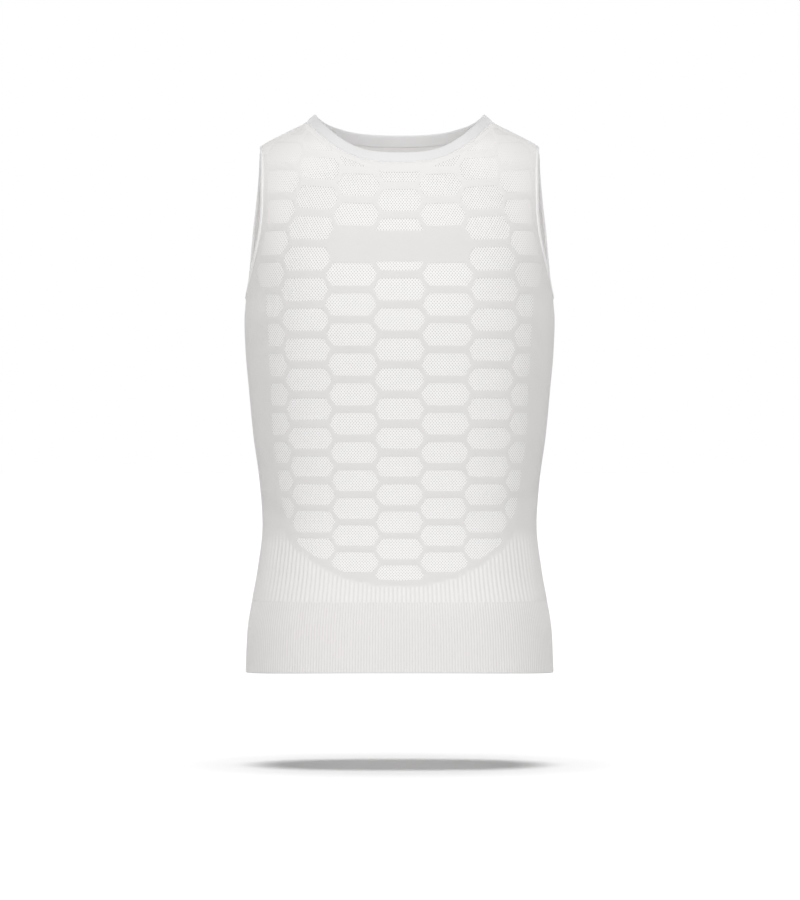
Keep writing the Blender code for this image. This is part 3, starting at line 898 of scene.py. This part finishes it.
# ----------------------
# The hem band. It is the tube's end, knitted on in a fine rib with more
# elastane than the body, and closed by a turned edge of its own, without a seam.
# ----------------------
HEM_END = -640.0
FRONT_LIFT = 3.6
HEM_FRONT = 107.0
FINE_RIBS = 72
LINES_IN_FINE_RIB = 4
FINE_DEPTH = 0.55
HEM_PROFILE = (
    # height, outward, share of the rib's depth
    (-555.6, -0.6, 0.0), (-556.8, -0.45, 0.2), (-557.4, -0.1, 0.8), (-559.5, 0.0, 1.0),
    *((z, 0.0, 1.0) for z in np.linspace(-566.0, -633.0, 12)),
    (-636.8, 0.0, 1.0), (-638.6, 0.0, 0.7), (-639.6, -0.25, 0.2), (-640.0, -0.7, 0.0),
    (-639.6, -1.15, 0.0), (-638.0, -1.4, 0.0),
    *((z, -1.4, 0.0) for z in np.linspace(-630.0, -562.0, 6)),
    (-556.0, -1.3, 0.0),
)


def rib_finish():
    """The hem's ribbed yarn, painted paler than the jersey to offset the ribs' shade, and greyer with
    painted shade between the ribs.
    """
    finish = Finish("hem_rib", Roughness=0.86, Sheen_Weight=0.2, Sheen_Roughness=0.5)
    finish.bump(finish.jersey(), 0.1)
    cloudy = finish.noise(11.0, 4.0)
    # Painted light: paler than the jersey, to offset the shade between the ribs.
    yarn = finish.mix(cloudy, (0.855, 0.836, 0.825, 1), (0.895, 0.876, 0.865, 1))
    # Painted shade: greyer where the ribs sink.
    finish.feed("Base Color", finish.mix(finish.mark("sunk"), yarn, (0.75, 0.735, 0.727, 1)))
    return finish.material


def band_mesh(name, rings, stitches, **marks):
    """A closed mesh round an opening from rings of points, the last of which meets the first."""
    rows, columns = len(rings), len(rings[0])
    numbers = np.arange(rows * columns).reshape(rows, columns)
    ahead = np.roll(numbers, -1, axis=1)
    faces = np.stack([numbers, ahead, np.roll(ahead, -1, axis=0), np.roll(numbers, -1, axis=0)], axis=-1)
    return surface_mesh(name, np.concatenate(rings), faces.reshape(-1, 4), np.concatenate(stitches), **marks)


def hem():
    """The hem band as a closed ring of rib."""
    count = FINE_RIBS * LINES_IN_FINE_RIB
    shares = np.arange(-count, count) / count
    rings, stitches = [], []
    for z, out, _ in HEM_PROFILE:
        front = lifted(FRONT, shares * side(FRONT, z), np.full(len(shares), z), out)
        back = lifted(BACK, -shares * side(BACK, z), np.full(len(shares), z), out)
        drop = (HEM_TOP - z) / (HEM_TOP - HEM_END)
        front[:, 2] += FRONT_LIFT * (front[:, 1] / HEM_FRONT) ** 2 * drop
        rings.append(np.concatenate([front, back]))
        around = np.concatenate([shares, shares + 2]) * side(FRONT, z) / WALE
        stitches.append(np.stack([around, np.full(len(around), z / COURSE)], axis=1))
    phase = np.tile(np.abs(shares) * FINE_RIBS, 2 * len(rings))
    ribbed = np.repeat([share for *_, share in HEM_PROFILE], 2 * len(shares))
    mesh = band_mesh("hem_rib", rings, stitches, rib=phase, ribbed=ribbed)
    mesh.flip_normals()
    obj = worked(piece("hem_rib", mesh), RIBBING, Depth=FINE_DEPTH * MM, Finish=rib_finish())
    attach(obj, "root")
    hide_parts("hem_band")
    return obj


hem_rib = hem()

# ----------------------
# The neckband. A doubled strip of plain knit is folded over the neckline and
# joined to the body by one flat seam, whose allowance makes a low ridge below
# it, inside and out.
# ----------------------
NECK_PROFILE = (
    # across the band from the seam, height
    (-0.4, -0.55), (-0.1, 0.25), (0.5, 0.7), (1.4, 0.95), (3.4, 1.05), (6.5, 1.05), (9.5, 0.95),
    (11.3, 0.7), (12.1, 0.2), (12.4, -0.45), (12.1, -1.05), (11.2, -1.45), (8.5, -1.55), (4.5, -1.55),
    (1.2, -1.6), (-0.4, -2.0), (-1.8, -2.25), (-3.2, -2.0), (-4.0, -1.3), (-3.2, -0.9),
)


def trim_finish(name, light, shade):
    """The smooth doubled knit of the neckband and the armholes' edges."""
    finish = Finish(name, Roughness=0.8, Sheen_Weight=0.25, Sheen_Roughness=0.45)
    finish.bump(finish.jersey(), 0.08)
    finish.feed("Base Color", finish.mix(finish.noise(18.0, 3.0), (*shade, 1), (*light, 1)))
    return finish.material


def edging(name, loop, profile, finish, node, mirrored=False):
    """A strip of doubled knit along an opening, worked out from its profile."""
    places, out, sideways = frames(loop)
    steps = np.linalg.norm(np.diff(places, axis=0, append=places[:1]), axis=1)
    run = np.concatenate([[0], np.cumsum(steps)[:-1]])
    rings = [places + sideways * across + out * height for across, height in profile]
    if mirrored:
        rings = [ring * (-1, 1, 1) for ring in rings]
    stitches = [np.stack([np.full(len(run), across / WALE), run / COURSE], axis=1) for across, _ in profile]
    mesh = band_mesh(name, rings, stitches)
    work = bmesh.new()
    work.from_mesh(mesh)
    bmesh.ops.recalc_face_normals(work, faces=work.faces)
    work.to_mesh(mesh)
    work.free()
    mesh.materials.append(finish)
    obj = piece(name, mesh)
    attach(obj, "root")
    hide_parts(node)
    return obj


NECK_TRIM = trim_finish("neck_trim", (0.815, 0.813, 0.815), (0.775, 0.773, 0.775))
neck_trim = edging("neck_trim", NECK_LOOP, NECK_PROFILE, NECK_TRIM, "neckband")

# ----------------------
# The armholes' edges. Each is a narrow turned edge, held down all round by a
# fine elastic yarn, lighter than the jersey beside it.
# ----------------------
EDGE_PROFILE = (
    # across the edge from its outer line, height
    (-4.0, 0.0), (-3.8, 0.4), (-3.1, 0.62), (-1.8, 0.75), (-0.7, 0.65), (0.0, 0.1),
    (0.0, -0.6), (-0.7, -1.05), (-1.8, -1.15), (-3.2, -1.05), (-3.9, -0.7),
)
EDGE_TRIM = trim_finish("armhole_trim", (0.86, 0.857, 0.853), (0.82, 0.817, 0.813))
left_edge = edging("armhole_trim_left", ARMHOLE_LOOP, EDGE_PROFILE, EDGE_TRIM, "armhole_edge_left")
right_edge = edging(
    "armhole_trim_right", ARMHOLE_LOOP, EDGE_PROFILE, EDGE_TRIM, "armhole_edge_right", mirrored=True
)

# ----------------------
# Seams and stitches. The shoulders are closed by a flat seam each, and fine
# stitches of elastic yarn run along them, beside the neckline and round the
# armholes.
# ----------------------
NECK_STITCH, ARMHOLE_STITCH, SHOULDER_STITCH = (
    # away from the edge or seam, height, pitch, length and width of a stitch
    (2.4, 0.85, 2.3, 1.7, 0.42), (3.0, 0.72, 2.1, 1.6, 0.4), (1.7, 0.62, 2.1, 1.6, 0.4),
)
SHOULDER_PROFILE = (
    # across the shoulder seam, height
    (-3.0, -0.3), (-2.6, 0.3), (-1.4, 0.6), (-0.01, 0.7), (1.4, 0.6), (2.6, 0.3), (3.0, -0.3),
)


def stitch_finish():
    """Fine elastic yarn, whiter than the jersey."""
    finish = Finish("stitch_yarn", Roughness=0.7)
    yarn = finish.mix(finish.noise(90.0), (0.84, 0.838, 0.835, 1), (0.90, 0.898, 0.895, 1))
    finish.feed("Base Color", yarn)
    return finish.material


def stitching():
    """Small stitches set along a line of edges, each lying along it."""
    nodes, given = geometry_tree("stitching", "Pitch", "Length", "Width")
    line = nodes.node("GeometryNodeMeshToCurve", {}, {0: given["Geometry"]})
    spacing = {"Curve": line, "Length": given["Pitch"]}
    line = nodes.node("GeometryNodeResampleCurve", {"mode": "LENGTH"}, spacing)
    along = nodes.node("GeometryNodeInputTangent", {}, {})
    turn = nodes.node("FunctionNodeAlignRotationToVector", {"axis": "Z"}, {"Vector": along})
    bead = nodes.node("GeometryNodeMeshUVSphere", {}, {"Segments": 6, "Rings": 5, "Radius": 0.5})
    width = given["Width"]
    size = nodes.node("ShaderNodeCombineXYZ", {}, {0: width, 1: width, 2: given["Length"]})
    beads = {"Points": line, "Instance": bead, "Rotation": turn, "Scale": size}
    set_out = nodes.node("GeometryNodeInstanceOnPoints", {}, beads)
    return finished(nodes, set_out, given["Finish"])


STITCH_YARN = stitch_finish()
STITCHING = stitching()


def stitch_rows(name, lines, pitch, length, width):
    """Rows of stitches along lines of points."""
    points, edges, start = np.concatenate(lines), [], 0
    for line in lines:
        edges += [(start + k, start + k + 1) for k in range(len(line) - 1)]
        start += len(line)
    mesh = bpy.data.meshes.new(name)
    mesh.from_pydata((points * MM).tolist(), edges, [])
    obj = piece(name, mesh)
    sizes = {"Pitch": pitch * MM, "Length": length * MM, "Width": width * MM}
    worked(obj, STITCHING, Finish=STITCH_YARN, **sizes)
    obj.data.shade_smooth()
    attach(obj, "root")
    return obj


def loop_sewing(name, loop, turns, away, height, *sizes):
    """Stitches round an opening, beside its edge; a turn of -1 stands for its mirror image."""
    places, out, sideways = frames(loop)
    line = places - sideways * away + out * height
    lines = [np.concatenate([line, line[:1]]) * (turn, 1, 1) for turn in turns]
    return stitch_rows(name, lines, *sizes)


def on_shoulder(turn, offset, height, levels):
    """A line along a shoulder, beside its seam, at heights from the neckband to the armhole."""
    face = FRONT if offset < 0 else BACK
    return lifted(face, turn * (side(face, levels) - abs(offset)), levels, np.full(len(levels), height))


def shoulder_sewing():
    """Two rows of stitches along each shoulder seam."""
    away, height, *sizes = SHOULDER_STITCH
    levels = np.linspace(SHOULDER_NECK - 1.5, SHOULDER_TIP + 1.5, 24)
    lines = [on_shoulder(turn, offset, height, levels) for turn in (-1, 1) for offset in (-away, away)]
    return stitch_rows("shoulder_stitches", lines, *sizes)


def shoulder_seam(name, turn):
    """The flat seam on top of a shoulder, a low ridge where the two halves meet."""
    levels = np.linspace(SHOULDER_NECK - 0.5, SHOULDER_TIP + 0.5, 26)
    rows = np.array([on_shoulder(turn, offset, height, levels) for offset, height in SHOULDER_PROFILE])
    numbers = np.arange(rows[..., 0].size).reshape(rows.shape[:2])
    corners = [numbers[:-1, :-1], numbers[:-1, 1:], numbers[1:, 1:], numbers[1:, :-1]]
    faces = np.stack(corners, axis=-1).reshape(-1, 4)[:, ::-turn]  # outwards on both shoulders
    mesh = surface_mesh(name, rows.reshape(-1, 3), faces)
    mesh.materials.append(EDGE_TRIM)
    obj = piece(name, mesh)
    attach(obj, "root")
    return obj


neck_stitches = loop_sewing("neck_stitches", NECK_LOOP, [1], *NECK_STITCH)
armhole_stitches = loop_sewing("armhole_stitches", ARMHOLE_LOOP, [-1, 1], *ARMHOLE_STITCH)
shoulder_seams = [shoulder_seam("shoulder_seam_left", 1), shoulder_seam("shoulder_seam_right", -1)]
shoulder_stitches = shoulder_sewing()

# ----------------------
# Floor, light and camera. The photograph is lit as in a white studio, with
# large soft lights and a thin shadow far below the hem. The floor has a light
# of its own and gives none back, and a weak lamp fills the hollow body.
# ----------------------
FLOOR = -0.747
AMBIENT = 0.34
MIDDLE = (0.0, 0.0, -0.35)
CAMERA_STAND = (0.0005, -5.0, -0.385)
CAMERA_LENS = 195.65


def floor():
    """A wide pale floor."""
    mesh = bpy.data.meshes.new("floor")
    corners = [(-60, -60, FLOOR), (60, -60, FLOOR), (60, 60, FLOOR), (-60, 60, FLOOR)]
    mesh.from_pydata(corners, [], [(0, 1, 2, 3)])
    finish = Finish("white_floor", Roughness=0.9)
    finish.feed("Base Color", finish.mix(finish.noise(2.0), (0.90, 0.90, 0.90, 1), (0.91, 0.91, 0.91, 1)))
    mesh.materials.append(finish.material)
    obj = piece("floor", mesh)
    return obj


def white_room(ambient):
    """A white room: plain white where it is looked at, softer where it lights the cloth."""
    world = bpy.data.worlds.new("white_room")
    world.use_nodes = True
    bpy.context.scene.world = world
    nodes = Nodes(world.node_tree)
    sight = nodes.node("ShaderNodeLightPath", {}, {}, "Is Camera Ray")
    background = world.node_tree.nodes["Background"]
    world.node_tree.links.new((sight * (1.0 - ambient) + ambient).socket, background.inputs["Strength"])
    background.inputs["Color"].default_value = (1, 1, 1, 1)


def lamp(name, kind, stand, aim, energy, size):
    """A soft lamp that points at a spot; its size is a width, a sun's angle or a point's radius."""
    data = bpy.data.lights.new(name, kind)
    data.energy = energy
    if kind == "AREA":
        data.shape, data.size = "DISK", size
    elif kind == "SUN":
        data.angle = size
    else:
        data.shadow_soft_size = size
    obj = piece(name, data)
    obj.location = stand
    obj.rotation_euler = (Vector(aim) - Vector(stand)).to_track_quat("-Z", "Y").to_euler()
    return obj


ground = floor()
ground.visible_diffuse = ground.visible_shadow = False
white_room(AMBIENT)
lamps = [
    lamp("front_softbox", "AREA", (0.0, -4.4, -0.3), MIDDLE, 118.0, 2.6),
    lamp("top_softbox", "AREA", (0.0, -1.2, 2.6), MIDDLE, 30.0, 2.0),
    lamp("rim_softbox_left", "AREA", (3.0, 2.5, 0.4), MIDDLE, 66.0, 2.0),
    lamp("rim_softbox_right", "AREA", (-3.0, 2.5, 0.4), MIDDLE, 66.0, 2.0),
    lamp("hollow_fill", "POINT", (0.0, 0.0, -0.25), MIDDLE, 0.26, 0.06),
]
floor_light = lamp("floor_light", "SUN", (0.0, 0.0, 4.0), (0.0, 0.0, 0.0), 3.0, 0.8)
for light, state in [(floor_light, "INCLUDE"), *((light, "EXCLUDE") for light in lamps)]:
    lit = bpy.data.collections.new(light.name + "_lights")
    lit.objects.link(ground)
    lit.collection_objects[0].light_linking.link_state = state
    light.light_linking.receiver_collection = lit

camera_data = bpy.data.cameras.new("camera")
camera_data.sensor_fit, camera_data.sensor_width, camera_data.lens = "HORIZONTAL", 36.0, CAMERA_LENS
camera = piece("camera", camera_data)
camera.location, camera.rotation_euler = CAMERA_STAND, (pi / 2, 0, 0)
bpy.context.scene.camera = camera
bpy.context.scene.view_settings.view_transform = "Standard"
